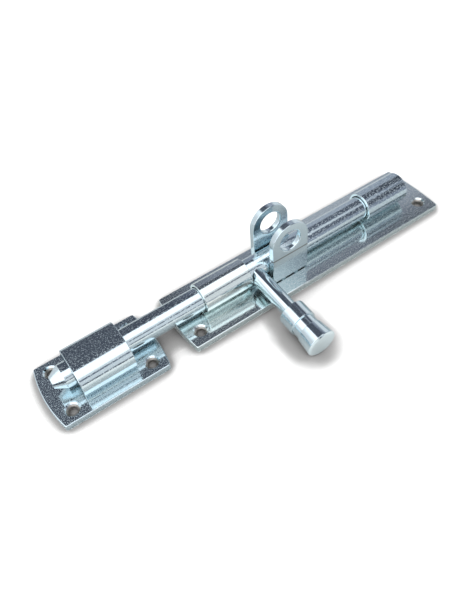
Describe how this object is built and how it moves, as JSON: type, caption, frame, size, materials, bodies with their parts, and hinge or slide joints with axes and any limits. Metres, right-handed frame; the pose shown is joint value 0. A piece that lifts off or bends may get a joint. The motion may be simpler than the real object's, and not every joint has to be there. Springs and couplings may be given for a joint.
{
  "type": "padbolt",
  "caption": "Round sliding bolt in two sleeves on a long plate, with a turned handle, a pair of padlock lugs and a separate keeper plate with a staple; zinc-plated steel.",
  "frame": {"origin": "middle of the main plate's back face, the face that is screwed to the door", "axes": "+X along the bolt towards its tail, so the bolt shoots to -X; +Z out of the door; the handle hangs towards -Y"},
  "size_m": [0.3011, 0.0969, 0.0502],
  "materials": {
    "plate_zinc": "bright zinc plating",
    "strip_zinc": "bright zinc plating",
    "lug_zinc": "bright zinc plating",
    "rod_zinc": "bright zinc plating",
    "handle_zinc": "bright zinc plating"
  },
  "bodies": {
    "base": {"main_plate": "plate_zinc", "nose_sleeve": "strip_zinc", "tail_sleeve": "strip_zinc", "lower_lug": "lug_zinc", "upper_lug": "lug_zinc", "keeper_plate": "plate_zinc", "keeper_staple": "strip_zinc"},
    "bolt": {"bolt_rod": "rod_zinc", "handle": "handle_zinc"}
  },
  "joints": [
    {"name": "bolt_turn", "type": "hinge", "parent": "base", "child": "bolt", "pos_m": [-0.0438, 0, 0.0154], "axis": [-1, 0, 0], "range_deg": [0, 188.2]}
  ]
}
